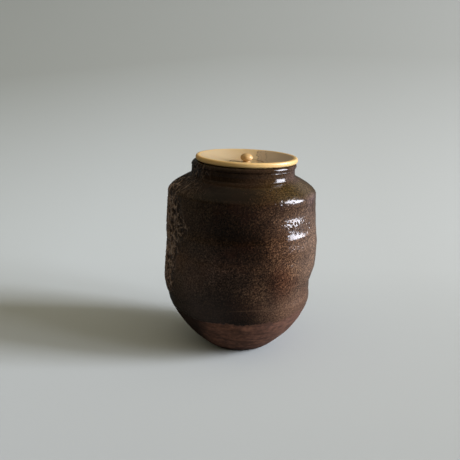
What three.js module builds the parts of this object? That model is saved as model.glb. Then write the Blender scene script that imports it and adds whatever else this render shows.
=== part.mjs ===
// A Japanese tea caddy of the shouldered kind: a small thrown stoneware jar under a brown iron
// glaze, and a scooped lid in ivory-coloured resin with a turned knob and a gilded lining.
// Millimetres, +Z up, seen from the front along +Y. The origin is the middle of the flat base.

import * as THREE from 'three';

// Jar: the outer wall, from the flat base up to the rolled lip
const baseRadius = 14.2;
const bellyRadius = 35;
const shoulderRadius = 33.8;
const shoulderHeight = 72.3;
const shoulderRise = 7.9;
const neckRadius = 23.5;
const neckWaist = 0.3;
const neckHeight = 3.9;
const lipRadius = 23.6;
const lipRoll = 1.15;

// Jar: the inside
const mouthRadius = 20.8;
const mouthRound = 0.9;
const wallThickness = 3.2;
const floorThickness = 5;

// Jar: how far the thrower's hand left its middle off the axis, to the right where it is positive,
// and how many degrees its mouth leans down to the right, which starts at a share of its height
const swayDepth = 1;
const topTilt = 0.9;
const topTiltStartShare = 0.68;

// Lid disc, with a spigot below that drops into the mouth
const lidRadius = 23;
const lidRimHeight = 2.25;
const lidRimWidth = 1.7;
const lidEdgeRound = 0.9;
const dishDepth = 3.2;
const spigotRadius = 19.2;
const spigotDepth = 3.2;
const spigotRound = 0.8;
const ringGrooveRadius = 7.5;
const ringGrooveWidth = 0.6;
const ringGrooveDepth = 0.25;

// How the lid sits: just over the lip, pushed against the right of the mouth
const lidSeatGap = 0.3;
const lidOffset = 1.7;

// Knob: a flattened ball on a short stem, with a peg glued into the disc; the glue under the knob
// and over the lining is glueGap thick
const knobRadius = 2.8;
const knobHeight = 3.65;
const knobStemRadius = 1.5;
const knobStemHeight = 0.4;
const knobFootRadius = 2;
const knobSeatMargin = 0.3;
const glueGap = 0.3;
const pegRadius = 1;
const pegLength = 1.3;
const pegClearance = 0.2;

// Gilded paper disc under the spigot
const liningThickness = 0.3;
const liningMargin = 0.5;

// How finely the round forms are cut
const jarSides = 48;
const lidSides = 48;
const knobSides = 24;
const wallSteps = 25;
const innerWallSteps = 11;
const shoulderSteps = 8;
const dishSteps = 10;
const arcSteps = 4;

// Height from base to shoulder, and how far the wall has swelled from base radius to belly radius
const wallShares = [
  [0, 0],
  [0.022, 0.116],
  [0.051, 0.237],
  [0.101, 0.427],
  [0.175, 0.636],
  [0.247, 0.788],
  [0.321, 0.894],
  [0.408, 0.945],
  [0.496, 0.98],
  [0.583, 1],
  [0.7, 0.99],
  [0.875, 0.965],
];

// Height from shoulder to neck, and radius from neck radius to shoulder radius
const shoulderShares = [
  [0, 1],
  [0.16, 0.99],
  [0.28, 0.93],
  [0.538, 0.673],
  [0.808, 0.327],
  [0.94, 0.12],
  [1, 0],
];

// The roll of the lip starts this far under its widest line, in degrees
const lipRollStart = -60;

// Height from base to lip, and sideways sway of the middle in parts of swayDepth
const swayShares = [
  [0, 0.35],
  [0.08, 0.3],
  [0.14, 0.1],
  [0.29, -0.4],
  [0.335, -1.1],
  [0.37, -1.3],
  [0.412, -0.75],
  [0.47, -0.1],
  [0.54, 0.35],
  [0.59, 0.45],
  [0.65, 0],
  [0.84, 0],
  [0.93, 0.3],
  [0.965, 0.35],
  [1, 0.8],
];

const neckFootHeight = shoulderHeight + shoulderRise;
const lipTop = neckFootHeight + neckHeight + 2 * lipRoll;
const dishRadius = lidRadius - lidRimWidth;
const knobSeatRadius = knobFootRadius + knobSeatMargin;

const glaze = new THREE.MeshStandardMaterial({ color: 0x4b2f20, roughness: 0.32, metalness: 0 });
const ivoryResin = new THREE.MeshStandardMaterial({ color: 0xdeb87d, roughness: 0.3, metalness: 0 });
const knobResin = new THREE.MeshStandardMaterial({ color: 0xe2bc80, roughness: 0.28, metalness: 0 });
const goldLeaf = new THREE.MeshStandardMaterial({ color: 0xd8a94a, roughness: 0.35, metalness: 1 });

function mix(from, to, share) {
  return from + (to - from) * share;
}

// A quarter, or another stretch, of an ellipse in the profile plane, in degrees
function arc(middle, height, reach, rise, from, to) {
  const toRadians = THREE.MathUtils.degToRad;
  const curve = new THREE.EllipseCurve(
    middle, height, reach, rise, toRadians(from), toRadians(to), to < from,
  );
  return curve.getPoints(arcSteps);
}

// Turns a profile about the upright axis; its points run from the axis, out and up, to the axis
function turned(profile, sides) {
  const geometry = new THREE.LatheGeometry(profile, sides);
  geometry.rotateX(Math.PI / 2);
  return geometry;
}

function named(name, geometry, material) {
  const mesh = new THREE.Mesh(geometry, material);
  mesh.name = name;
  return mesh;
}

// How far the jar's middle lies to the right at a height
function sway(height) {
  const share = height / lipTop;
  for (let i = 1; i < swayShares.length; i++) {
    const [low, lowSway] = swayShares[i - 1];
    const [high, highSway] = swayShares[i];
    if (share <= high) {
      return swayDepth * mix(lowSway, highSway, THREE.MathUtils.smoothstep(share, low, high));
    }
  }
  return swayDepth * swayShares.at(-1)[1];
}

// How far the jar's top drops at a place to the right of the axis
function drop(across, height) {
  const lean = THREE.MathUtils.smoothstep(height, lipTop * topTiltStartShare, lipTop);
  return across * Math.tan(THREE.MathUtils.degToRad(topTilt)) * lean;
}

function outerWall() {
  const points = wallShares.map(([height, swell]) =>
    new THREE.Vector2(mix(baseRadius, bellyRadius, swell), shoulderHeight * height));
  const edge = new THREE.Vector2(shoulderRadius, shoulderHeight);
  return new THREE.SplineCurve([...points, edge]).getPoints(wallSteps);
}

function shoulder() {
  const points = shoulderShares.map(([rise, reach]) =>
    new THREE.Vector2(mix(neckRadius, shoulderRadius, reach), shoulderHeight + shoulderRise * rise));
  return new THREE.SplineCurve(points).getPoints(shoulderSteps).slice(1);
}

// The neck draws in a little, and the lip is rolled over above it
function neckAndLip() {
  const lipMiddle = lipRadius - lipRoll;
  const waist = new THREE.Vector2(neckRadius - neckWaist, neckFootHeight + neckHeight / 2);
  const groove = new THREE.Vector2(neckRadius - neckWaist, neckFootHeight + neckHeight);
  const roll = arc(lipMiddle, lipTop - lipRoll, lipRoll, lipRoll, lipRollStart, 90);
  const round = arc(mouthRadius + mouthRound, lipTop - mouthRound, mouthRound, mouthRound, 90, 180);
  return [waist, groove, ...roll, ...round];
}

// Down the inside: the mouth, the ceiling under the shoulder, the wall and the floor
function inside() {
  const innerShoulder = shoulderRadius - wallThickness;
  const innerTop = shoulderHeight - 2 * wallThickness;
  const ceiling = new THREE.QuadraticBezierCurve(
    new THREE.Vector2(mouthRadius, neckFootHeight - wallThickness),
    new THREE.Vector2(innerShoulder, shoulderHeight + wallThickness / 2),
    new THREE.Vector2(innerShoulder, innerTop),
  );
  const points = wallShares.map(([height, swell]) => new THREE.Vector2(
    mix(baseRadius, bellyRadius, swell) - wallThickness,
    mix(floorThickness, innerTop, height),
  ));
  const edge = new THREE.Vector2(innerShoulder, innerTop);
  const wall = new THREE.SplineCurve([...points, edge]).getPoints(innerWallSteps).reverse();
  return [
    ...ceiling.getPoints(shoulderSteps),
    ...wall.slice(1),
    new THREE.Vector2(0, floorThickness),
  ];
}

function stonewareBody() {
  const profile = [new THREE.Vector2(0, 0), ...outerWall(), ...shoulder(), ...neckAndLip(), ...inside()];
  const geometry = turned(profile, jarSides);
  const places = geometry.attributes.position;
  for (let i = 0; i < places.count; i++) {
    const height = places.getZ(i);
    const across = places.getX(i) + sway(height);
    places.setX(i, across);
    places.setZ(i, height - drop(across, height));
  }
  geometry.computeVertexNormals();
  return named('stoneware_body', geometry, glaze);
}

// The scooped top of the lid, measured up from its seat
function dishHeight(radius) {
  const share = radius / dishRadius;
  return lidRimHeight - dishDepth * (1 - share * share);
}

// From the rim in to the knob, with a fine turned groove on the way
function dish() {
  const half = ringGrooveWidth / 2;
  const points = [];
  for (let i = 0; i <= dishSteps; i++) {
    const radius = mix(dishRadius, knobSeatRadius, i / dishSteps);
    if (Math.abs(radius - ringGrooveRadius) > ringGrooveWidth) {
      points.push(new THREE.Vector2(radius, dishHeight(radius)));
    }
  }
  for (const [offset, depth] of [[half, 0], [0, ringGrooveDepth], [-half, 0]]) {
    const radius = ringGrooveRadius + offset;
    points.push(new THREE.Vector2(radius, dishHeight(radius) - depth));
  }
  return points.sort((a, b) => b.x - a.x);
}

function lidDisc() {
  const seatHeight = dishHeight(knobSeatRadius);
  const holeRadius = pegRadius + pegClearance;
  const holeBottom = seatHeight - pegLength - pegClearance;
  const rimMiddle = lidRadius - lidRimWidth / 2;
  const profile = [
    new THREE.Vector2(0, -spigotDepth),
    ...arc(spigotRadius - spigotRound, spigotRound - spigotDepth, spigotRound, spigotRound, -90, 0),
    new THREE.Vector2(spigotRadius, 0),
    ...arc(lidRadius - lidEdgeRound, lidEdgeRound, lidEdgeRound, lidEdgeRound, -90, 0),
    ...arc(rimMiddle, lidRimHeight - lidEdgeRound, lidRimWidth / 2, lidEdgeRound, 0, 90),
    ...dish(),
    new THREE.Vector2(holeRadius, seatHeight),
    new THREE.Vector2(holeRadius, holeBottom),
    new THREE.Vector2(0, holeBottom),
  ];
  return named('lid_disc', turned(profile, lidSides), ivoryResin);
}

// Measured up from the foot that stands in the middle of the dish
function lidKnob() {
  const halfHeight = knobHeight / 2;
  const start = Math.acos(knobStemRadius / knobRadius);
  const middle = knobStemHeight + halfHeight * Math.sin(start);
  const ball = arc(0, middle, knobRadius, halfHeight, -THREE.MathUtils.radToDeg(start), 90);
  const stem = new THREE.QuadraticBezierCurve(
    new THREE.Vector2(knobFootRadius, 0),
    new THREE.Vector2(knobStemRadius, 0),
    new THREE.Vector2(knobStemRadius, knobStemHeight),
  );
  const profile = [
    new THREE.Vector2(0, -pegLength),
    new THREE.Vector2(pegRadius, -pegLength),
    new THREE.Vector2(pegRadius, 0),
    ...stem.getPoints(arcSteps).slice(0, -1),
    ...ball.slice(0, -1),
    new THREE.Vector2(0, ball.at(-1).y),
  ];
  const knob = named('lid_knob', turned(profile, knobSides), knobResin);
  knob.position.z = dishHeight(knobSeatRadius) + glueGap;
  return knob;
}

function goldLeafLining() {
  const radius = spigotRadius - spigotRound - liningMargin;
  const profile = [
    new THREE.Vector2(0, -liningThickness),
    new THREE.Vector2(radius, -liningThickness),
    new THREE.Vector2(radius, 0),
    new THREE.Vector2(0, 0),
  ];
  const lining = named('gold_leaf_lining', turned(profile, lidSides), goldLeaf);
  lining.position.z = -spigotDepth - glueGap;
  return lining;
}

const lid = new THREE.Group();
lid.add(lidDisc(), lidKnob(), goldLeafLining());
lid.position.set(lidOffset, 0, lipTop + lidSeatGap - drop(lidOffset, lipTop));
lid.rotation.y = THREE.MathUtils.degToRad(topTilt);

const caddy = new THREE.Group();
caddy.add(stonewareBody(), lid);

export default caddy;
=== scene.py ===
"""A shouldered tea caddy: a thrown stoneware jar under a brown iron glaze, with a scooped lid of
ivory-coloured resin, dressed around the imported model.

Sizes are in millimetres and MM turns them into the frame's metres. An azimuth is in degrees round
the jar: 0 is the front, 90 the right, 180 the back and -90 the left."""

import math

import bpy
import numpy as np
from mathutils import Matrix, Vector, noise


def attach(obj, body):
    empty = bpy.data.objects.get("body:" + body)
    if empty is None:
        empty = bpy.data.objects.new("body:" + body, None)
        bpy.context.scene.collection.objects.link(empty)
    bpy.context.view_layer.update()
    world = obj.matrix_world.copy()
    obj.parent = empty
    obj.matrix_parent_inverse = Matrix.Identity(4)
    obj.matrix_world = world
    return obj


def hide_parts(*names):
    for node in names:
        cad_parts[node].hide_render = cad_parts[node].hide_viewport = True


MM = 0.001

# The jar's outer wall, neck and lip, with the values of the solid jar
BASE_RADIUS = 14.2
BELLY_RADIUS = 35
SHOULDER_RADIUS = 33.8
SHOULDER_HEIGHT = 72.3
SHOULDER_RISE = 7.9
NECK_RADIUS = 23.5
NECK_WAIST = 0.3
NECK_HEIGHT = 3.9
LIP_RADIUS = 23.6
LIP_ROLL = 1.15
LIP_ROLL_START = -60
MOUTH_RADIUS = 20.8
MOUTH_ROUND = 0.9
WALL_THICKNESS = 3.2
FLOOR_THICKNESS = 5
SWAY_DEPTH = 1
TOP_TILT = 0.9
TOP_TILT_START_SHARE = 0.68
NECK_FOOT = SHOULDER_HEIGHT + SHOULDER_RISE
LIP_TOP = NECK_FOOT + NECK_HEIGHT + 2 * LIP_ROLL

# Height from base to shoulder, and swell from base radius to belly radius
WALL_SHARES = [
    (0, 0), (0.022, 0.116), (0.051, 0.237), (0.101, 0.427), (0.175, 0.636), (0.247, 0.788),
    (0.321, 0.894), (0.408, 0.945), (0.496, 0.98), (0.583, 1), (0.7, 0.99), (0.875, 0.965),
]
# Height from shoulder to neck, and radius from neck radius to shoulder radius
SHOULDER_SHARES = [
    (0, 1), (0.16, 0.99), (0.28, 0.93), (0.538, 0.673), (0.808, 0.327), (0.94, 0.12), (1, 0),
]
# Height from base to lip, and sideways sway of the middle in parts of the sway depth
SWAY_SHARES = [
    (0, 0.35), (0.08, 0.3), (0.14, 0.1), (0.29, -0.4), (0.335, -1.1), (0.37, -1.3),
    (0.412, -0.75), (0.47, -0.1), (0.54, 0.35), (0.59, 0.45), (0.65, 0), (0.84, 0),
    (0.93, 0.3), (0.965, 0.35), (1, 0.8),
]

# The lid, its knob and its lining, with the values of the solid ones
LID_RADIUS = 23
LID_RIM_HEIGHT = 2.25
LID_RIM_WIDTH = 1.7
LID_EDGE_ROUND = 0.9
DISH_DEPTH = 3.2
SPIGOT_RADIUS = 19.2
SPIGOT_DEPTH = 3.2
SPIGOT_ROUND = 0.8
RING_GROOVE_RADIUS = 7.5
RING_GROOVE_WIDTH = 0.6
RING_GROOVE_DEPTH = 0.25
LID_SEAT_GAP = 0.3
LID_OFFSET = 1.7
KNOB_RADIUS = 2.8
KNOB_HEIGHT = 3.65
KNOB_STEM_RADIUS = 1.5
KNOB_STEM_HEIGHT = 0.4
KNOB_FOOT_RADIUS = 2
KNOB_SEAT_RADIUS = 2.3
GLUE_GAP = 0.3
PEG_RADIUS = 1
PEG_LENGTH = 1.3
PEG_CLEARANCE = 0.2
LINING_THICKNESS = 0.3
LINING_MARGIN = 0.5
DISH_RADIUS = LID_RADIUS - LID_RIM_WIDTH

# How finely the surfaces are made
JAR_SIDES = 364
LID_SIDES = 192
KNOB_SIDES = 96
WALL_STEP = 0.55
NECK_STEP = 0.34
INSIDE_STEP = 2.4
LID_STEP = 0.4
KNOB_STEP = 0.16
CURVE_STEPS = 240
ARC_STEPS = 24

# The wall's relief: where the jar is widest it only goes inwards, to stay in the solid's box
RELIEF_INSET = 0.3
INSET_START = 31.5
INSET_FULL = 34
# It starts above the base and ends below the top of the lip, and it is calmer on the shoulder
RELIEF_RISE = 2.5
LIP_CALM_START = 1.8
LIP_CALM_FULL = 0.8
SHOULDER_CALM_SHARE = 0.3
SHOULDER_CALM_WIDTH = 4
# Bands of unevenness with their size across, away and up, broad lumps, and the glaze's skin
BAND_SIZE = (60, 60, 4.2)
BAND_DEPTH = 0.13
UNEVEN_DEPTH = 0.14
SKIN_DEPTH = 0.05
# Bumps that only the material shows, of the glaze and of the clay
GRAIN_DEPTH = 0.13
CLAY_GRAIN_DEPTH = 0.08
# The noises of the wall: the size of their lumps, octaves and seed
BAND_NOISE = (1, 2, 3)
UNEVEN_NOISE = (17, 2, 1)
SKIN_NOISE = (2.4, 2, 9)
GLAZE_LINE_NOISE = (11, 3, 5)
TOOL_MARK_NOISE = (6, 2, 8)
TEAR_NOISE = (2.2, 2, 31)
SCAR_SIDE_NOISES = [(9, 2, 40), (24, 1, 41)]
SCAR_END_NOISE = (10, 2, 42)
SCAR_CELL_NOISES = [(4, 2, 11), (4, 2, 12)]
# Swellings and dents from the thrower's fingers: azimuth and height of the middle, half their
# spread in degrees and in height, and how far they stand out
FINGER_MARKS = [
    (-20, 55.3, 46, 2.2, 0.26),
    (-10, 61.5, 50, 4.5, -0.24),
    (-10, 48.9, 54, 1.9, -0.2),
    (0, 43.8, 60, 2.6, 0.2),
    (-5, 37.5, 60, 2.4, -0.12),
    (5, 30.6, 60, 1.7, -0.16),
    (50, 54.2, 24, 3.4, 0.7),
    (50, 67.2, 25, 6, -1.5),
    (48, 74.2, 13, 2.6, -1.8),
    (70, 76, 12, 2.8, -2.0),
    (50, 46, 30, 3.5, -0.1),
    (86, 42, 30, 4, 0.2),
    (96, 34, 36, 2.4, -0.35),
    (150, 46, 40, 5, 0.2),
    (178, 30, 50, 4, -0.22),
    (-150, 58, 46, 5, -0.25),
]
# Where the grain is stronger or weaker than elsewhere: azimuth, height, half spreads and change
GRAIN_MARKS = [
    (48, 62, 24, 6, -0.9),
    (56, 73.6, 28, 2.4, -0.97),
    (50, 84.1, 34, 0.7, 14),
]
# It is weaker on the neck, from just below the neck's foot, and inside the jar
NECK_GRAIN_SHARE = 0.12
NECK_GRAIN_START = 3
NECK_GRAIN_FULL = 1
INSIDE_GRAIN_SHARE = 0.3

# Where the glaze is finely pitted: azimuth, height, half spreads and strength
PIT_MARKS = [(48, 61.6, 10, 2.3, 2), (34, 73, 7, 1.6, 0.9)]
PIT_SIZE = 1.7
PIT_DEPTH = 0.42
PIT_EDGE_SHARES = (0.12, 0.42)

# The scarred band down the left, where the glaze shrank into a net of ridges round pits. It fades
# at its sides between shares of its spread, and at its ends between pairs of heights.
SCAR_AZIMUTH = -76
SCAR_SPREAD = 27
SCAR_SIDE_SHARES = (0.5, 1.15)
SCAR_HEIGHTS = (25, 37, 70, 80)
SCAR_SIDE_WANDER = 9
SCAR_END_WANDER = 4.5
SCAR_CELL = 3.2
SCAR_STRETCH = 0.85
SCAR_DEPTH = 0.8
# A ridge runs where the middles of two cells are equally near, and falls off as the distances
# to them come to differ by these shares of a cell. Where the net has the level share, the wall
# stays as it is.
SCAR_RIDGE_SHARES = (0.02, 0.25)
SCAR_LEVEL_SHARE = 0.6

# Fine ridges over the scarred band: the width of their cells, how many times higher the cells
# are, how far the ridges stand out, and the noise that warps them. A fade is where it starts
# and ends, and its strengths there.
FINE_CELL = 2.4
FINE_STRETCH = 2
FINE_DEPTH = 0.35
FINE_WARP_SCALE = 0.3
FINE_WARP = (1.3, 1.3, 1.3)
FINE_CREST_FADE = (0.01, 0.13, 1, 0)
FINE_HOLLOW_FADE = (0.15, 0.5, 0.4, 0)
FINE_NET_FADE = (0, 0.8, 0.45, 1)
FINE_LEVEL_FADE = (0, 1, 0.22, 0.42)

# The torn glaze on the left of the neck and shoulder: azimuth, height, half spreads and strength
TEARS = [(-64, 83.5, 22, 4, 1), (-70, 76.5, 24, 3.5, 0.5)]
TEAR_DEPTH = 0.5
TEAR_STRETCH = 4
TEAR_SCAR_SHARE = 0.6

# The glaze ends in a soft uneven line above the bare foot, and fades out more widely at the right
GLAZE_LINE = 19.5
GLAZE_LINE_WANDER = 0.9
GLAZE_THICKNESS = 0.2
GLAZE_EDGE_WIDTH = 1.7
GLAZE_FADE_WIDTH = 6
GLAZE_FADE_AZIMUTHS = (0, 40, 110, 150)
TOOL_MARK_PITCH = 1.3
TOOL_MARK_DEPTH = 0.07
TOOL_MARK_WANDER = 0.4

# What is kept as the form for the material where the wall is even; dents have less
FORM_MIDDLE = 0.5

# Lines left under the base by the string that cut it from the wheel
STRING_PITCH = 1.5
STRING_DEPTH = 0.22
STRING_MIDDLE = (4.5, -2.5)
STANDING_RIM = 1.2

# The noises of the materials: scale, detail and roughness, and the distortion of the leaf's
CRYSTAL_NOISE = (1.5, 5, 0.74)
PATCH_NOISE = (0.06, 3, 0.55)
DRIP_NOISE = (0.8, 3, 0.6)
DRIFT_NOISE = (0.05, 2, 0.5)
RAGGED_NOISE = (0.7, 4, 0.6)
GLOSS_NOISE = (0.3, 3, 0.6)
SWELL_NOISE = (1.3, 1, 0.5)
CLAY_NOISE = (0.45, 4, 0.65)
CLAY_BAND_NOISE = (1.1, 4, 0.65)
IVORY_CLOUD_NOISE = (0.09, 3, 0.55)
IVORY_GRAIN_NOISE = (1.6, 4, 0.6)
IVORY_SKIN_NOISE = (1.4, 3, 0.6)
STREAK_NOISE = (0.2, 3, 0.45)
STREAK_WEAR_NOISE = (0.55, 3, 0.6)
KNOB_GRAIN_NOISE = (0.9, 4, 0.6)
KNOB_SKIN_NOISE = (2.2, 3, 0.6)
LEAF_NOISE = (0.5, 5, 0.65, 0.6)
# What places are multiplied by across, away and up: a small number draws a noise out
DRIP_STRETCH = (1, 1, 0.14)
CLAY_BAND_STRETCH = (0.1, 0.1, 1)
IVORY_GRAIN_STRETCH = (1, 0.06, 0.5)
STREAK_STRETCH = (0.3, 1, 1)
KNOB_GRAIN_STRETCH = (1, 1, 0.3)
# The middle values of a noise, which are carried over to another range, and how the drips
# follow the patches
NOISE_SPREAD = (0.3, 0.7)
DRIP_PATCH_FADE = (0.35, 0.6, 0.85, 1.1)
# How far the edges of patches, stains and painted light drift to either side
GLAZE_DRIFT = 14
STAIN_AND_LIGHT_DRIFT_SHARE = 0.25

# Ramps of the glaze, the clay and the lid: places along a value, and the colours there
# The glaze's own crystals come in two copies: a darker one for the front and left, painted shade, and a
# paler, warmer one for the right, painted light
SHADED_DARK_CRYSTALS = [
    (0.36, (0.0035, 0.002, 0.0013)), (0.46, (0.0115, 0.0066, 0.0037)),
    (0.54, (0.026, 0.015, 0.0085)), (0.64, (0.067, 0.04, 0.023)),
]
LIT_WARM_CRYSTALS = [
    (0.36, (0.009, 0.0045, 0.003)), (0.46, (0.052, 0.027, 0.015)),
    (0.54, (0.125, 0.068, 0.036)), (0.64, (0.33, 0.19, 0.1)),
]
# A pale greyish copy of the crystals for the right outline, painted sheen
RIGHT_SHEEN_CRYSTALS = [(0.36, (0.055, 0.037, 0.028)), (0.64, (0.38, 0.255, 0.185))]
OLIVE_CRYSTALS = [(0.38, (0.007, 0.0045, 0.002)), (0.64, (0.075, 0.048, 0.014))]
# A paler copy of the crystals for the left outline, painted sheen
LEFT_SHEEN_CRYSTALS = [(0.4, (0.03, 0.02, 0.0135)), (0.62, (0.15, 0.105, 0.074))]
THIN_CRYSTALS = [(0.38, (0.068, 0.035, 0.023)), (0.64, (0.17, 0.096, 0.06))]
# Painted shade low on the jar: lighter at the left, darker at the front
LOW_SHADE_BROWNS = [(0, (0.027, 0.0215, 0.0185)), (1, (0.008, 0.0056, 0.0046))]
# Tan ridges and dark pits of the scarred band; the palest crests are partly painted glints
SCAR_BROWNS_AND_GLINTS = [
    (0.05, (0.024, 0.0155, 0.012)), (0.4, (0.105, 0.073, 0.055)),
    (0.75, (0.19, 0.138, 0.108)), (1, (0.3, 0.23, 0.187)),
]
CLAY_REDS = [
    (0.34, (0.1, 0.045, 0.028)), (0.5, (0.16, 0.074, 0.046)), (0.66, (0.24, 0.112, 0.067)),
]
IVORY_CLOUDS = [(0.35, (0.5, 0.34, 0.155)), (0.65, (0.57, 0.41, 0.21))]
KNOB_GRAIN = [(0.35, (0.5, 0.3, 0.11)), (0.65, (0.6, 0.39, 0.17))]
GOLD_CREASES = [
    (0.3, (0.7, 0.43, 0.14)), (0.55, (0.93, 0.64, 0.25)), (0.75, (0.98, 0.77, 0.4)),
]
# Plain colours
RUST_BROWN = (0.04, 0.0155, 0.0085)
# Darker brown in the dents, partly glaze pooled there and partly painted shade
POOLED_GLAZE_AND_SHADE_BROWN = (0.012, 0.007, 0.005)
# Near black for the front of the shoulder, painted shade
SHOULDER_SHADE_BLACK = (0.0045, 0.0024, 0.0012)
NECK_BROWN = (0.02, 0.0105, 0.005)
DRIP_BROWN = (0.02, 0.009, 0.006)
PALE_BROWN = (0.16, 0.1, 0.06)
CLAY_BAND_BROWN = (0.045, 0.022, 0.015)
# Painted shade on the clay's far left and along its lower edge
CLAY_SIDE_SHADE_BROWN = (0.022, 0.012, 0.008)
CLAY_FOOT_SHADE_BROWN = (0.02, 0.011, 0.008)
IVORY_GRAIN_CREAM = (0.44, 0.29, 0.12)
# Painted light on the dish's left
IVORY_LEFT_LIGHT_CREAM = (0.6, 0.46, 0.27)
# Darker beyond the streaks, partly the resin's tone and partly painted shade
IVORY_RIGHT_TONE_AND_SHADE_BROWN = (0.3, 0.215, 0.14)
IVORY_STREAK_BROWN = (0.12, 0.075, 0.035)
IVORY_RIM_YELLOW = (0.76, 0.5, 0.19)
IVORY_GROOVE_BROWN = (0.2, 0.105, 0.042)
BLACK = (0.0, 0.0, 0.0)

# Layers of the materials, from the lowest up: a plain colour, or the value that runs through a
# ramp and the ramp, and the fades whose product is the layer's strength. A fade is the value that
# it follows, where it starts and ends, and where they aren't 0 and 1 its strengths there.
GLAZE_LAYERS = [
    # painted light: the paler, warmer crystals take over towards the right, where the window falls
    (("crystals", LIT_WARM_CRYSTALS), [("drifting", 1, 31)]),
    # painted sheen along the right outline
    (("crystals", RIGHT_SHEEN_CRYSTALS), [("across", 21, 32, 0, 0.4)]),
    (RUST_BROWN, [("patches", 0.5, 0.66, 0, 0.45)]),
    # darker in the dents: partly pooled glaze, partly painted shade
    (POOLED_GLAZE_AND_SHADE_BROWN, [("form", 0.5, 0.1, 0, 0.35)]),
    (("crystals", OLIVE_CRYSTALS), [
        ("height", 72.5, 75), ("height", 81, 78.5), ("across", 2, 20, 0.1, 0.8),
    ]),
    # painted sheen along the left outline
    (("crystals", LEFT_SHEEN_CRYSTALS), [("across", -8, -28, 0, 0.6)]),
    # painted shade on the front of the shoulder, between its left and right
    (SHOULDER_SHADE_BLACK, [
        ("height", 72.5, 75), ("height", 81, 78.5), ("across", -23, -12), ("across", 18, 2, 0, 0.8),
    ]),
    (NECK_BROWN, [("height", 78, 80.5, 0, 0.6)]),
    (("crystals", THIN_CRYSTALS), [("height", 38, 23, 0, 0.75), ("across", 2, 22)]),
    # painted shade low on the front, with painted light at the left
    (("frontal", LOW_SHADE_BROWNS), [("height", 38, 26, 0, 0.65), ("across", 20, 6)]),
    (DRIP_BROWN, [("drips", 0.48, 0.62, 0, 0.6), ("height", 58, 68), ("height", 75, 72)]),
]
CLAY_BANDS = [(CLAY_BAND_BROWN, [("bands", 0.46, 0.62, 0, 0.6)])]
# painted shade on the clay's far left and along its foot
CLAY_SHADE_EDGES = [
    (CLAY_SIDE_SHADE_BROWN, [("across", -11, -18, 0, 0.88)]),
    (CLAY_FOOT_SHADE_BROWN, [("height", 4.2, 0.5, 0, 0.85)]),
]
IVORY_SIDES = [
    (IVORY_GRAIN_CREAM, [("grain", 0.4, 0.7, 0, 0.25)]),
    # painted light on the dish's left
    (IVORY_LEFT_LIGHT_CREAM, [("across", 0, -12, 0, 0.8)]),
    # darker right of the streaks: partly tone, partly painted shade
    (IVORY_RIGHT_TONE_AND_SHADE_BROWN, [("across", 4.4, 6, 0.03, 0.6)]),
]
IVORY_RINGS = [
    (IVORY_RIM_YELLOW, [("reach", 20.6, 21.4, 0, 0.85)]),
    (IVORY_GROOVE_BROWN, [("beside", 0.5, 0.2, 0, 0.7)]),
]
# Where the painted shade low on the jar turns from the lighter browns of its left, painted light that
# makes up for the weaker light there, to the darker browns of its front
FRONTAL_TURN = (-10, 4)

# Dark and pale stains in the glaze, and painted light and shade on it: middle, reach, tint and strength
# of each
STAINS_AND_PAINTED_LIGHT = [
    ((19, -29, 38.5), 9, (1.15, 0.82, 0.76), 0.7),
    ((-27.5, -22, 48.5), 8, (1.6, 1.25, 0.9), 0.6),
    ((15, -22, 78), 10, (1.3, 1.2, 0.55), 0.7),
    ((8, -31, 75), 9, (1.5, 1.15, 0.75), 0.45),
    # painted reflection of the floor: paler, bluish-grey patches low on the front and the left
    ((-3, -34, 44), 16, (1.3, 1.35, 1.5), 0.9),
    ((-16, -29, 36), 24, (1.6, 1.68, 1.95), 1.2),
    # painted shade on the front
    ((0, -34, 59), 16, (0.4, 0.36, 0.3), 1),
    # painted reflection of the floor on the front's left
    ((-8, -33, 48.5), 10, (1.6, 1.55, 1.65), 1),
    # painted highlight beside the shoulder's highlight
    ((31, -13, 71), 8, (1.35, 1.4, 1.5), 1),
    # painted sheen on the right of the shoulder
    ((25, -9, 79.5), 11, (2.1, 2.35, 3.3), 1),
    # painted shade low on the front
    ((3, -34, 31), 11, (0.65, 0.62, 0.6), 0.9),
    ((10, -32, 54), 20, (1.14, 0.97, 0.86), 1),
    # painted light low on the left, where the window's light is weaker
    ((-12, -29, 20), 13, (1.6, 1.5, 1.45), 1),
]
# A thin pale line round the front of the jar: height, half its width and strength, how far it
# wanders up and down, and where it begins
PALE_LINE = (26.4, 0.3, 0.22)
PALE_LINE_WANDER = 1
PALE_LINE_START = (-14, 0)

# Tints over the scarred glaze and over the clay, where they set in, and how the scars darken and give
# way to the glaze at the edges of their band. The paler tint at the jar's left outline is painted
# sheen, and the clay's tints are painted light at its left and painted shade at its right.
SCAR_OUTLINE_SHEEN_TINT = (1.6, 1.52, 1.48)
SCAR_OUTLINE_FADE = (-26, -33)
SCAR_NECK_TINT = (0.6, 0.58, 0.56)
SCAR_NECK_FADE = (77, 82)
SCAR_DARK_FADE = (0, 1, -0.5, 0)
SCAR_COVER_FADE = (0, 0.5, 0, 0.9)
# Painted light on the clay's left and painted shade on its right, which even out the window's light
CLAY_LEFT_LIGHT_TINT = (1.3, 1.25, 1.25)
CLAY_RIGHT_SHADE_TINT = (0.78, 0.76, 0.74)
CLAY_TURN = (-12, 14)
# How ragged the glaze's edge is, and how sharply it covers the clay
GLAZE_RAGGED_SHARE = 0.35
GLAZE_COVER_FADE = (0.25, 0.75)

# How rough and how shiny the surfaces are
GLAZE_ROUGHNESS = 0.095
GRAIN_ROUGHNESS_FADE = (0.35, 0.65, 0.0, 0.12)
SCAR_ROUGHNESS = 0.15
CLAY_ROUGHNESS = 0.75
GLAZE_SHINE = 0.34
IVORY_ROUGHNESS = 0.34
KNOB_ROUGHNESS = 0.3
LEAF_ROUGHNESS_FADE = (0.3, 0.7, 0.24, 0.5)
PAPER_ROUGHNESS = 0.9
PAPER_SHINE = 0.2
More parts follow.
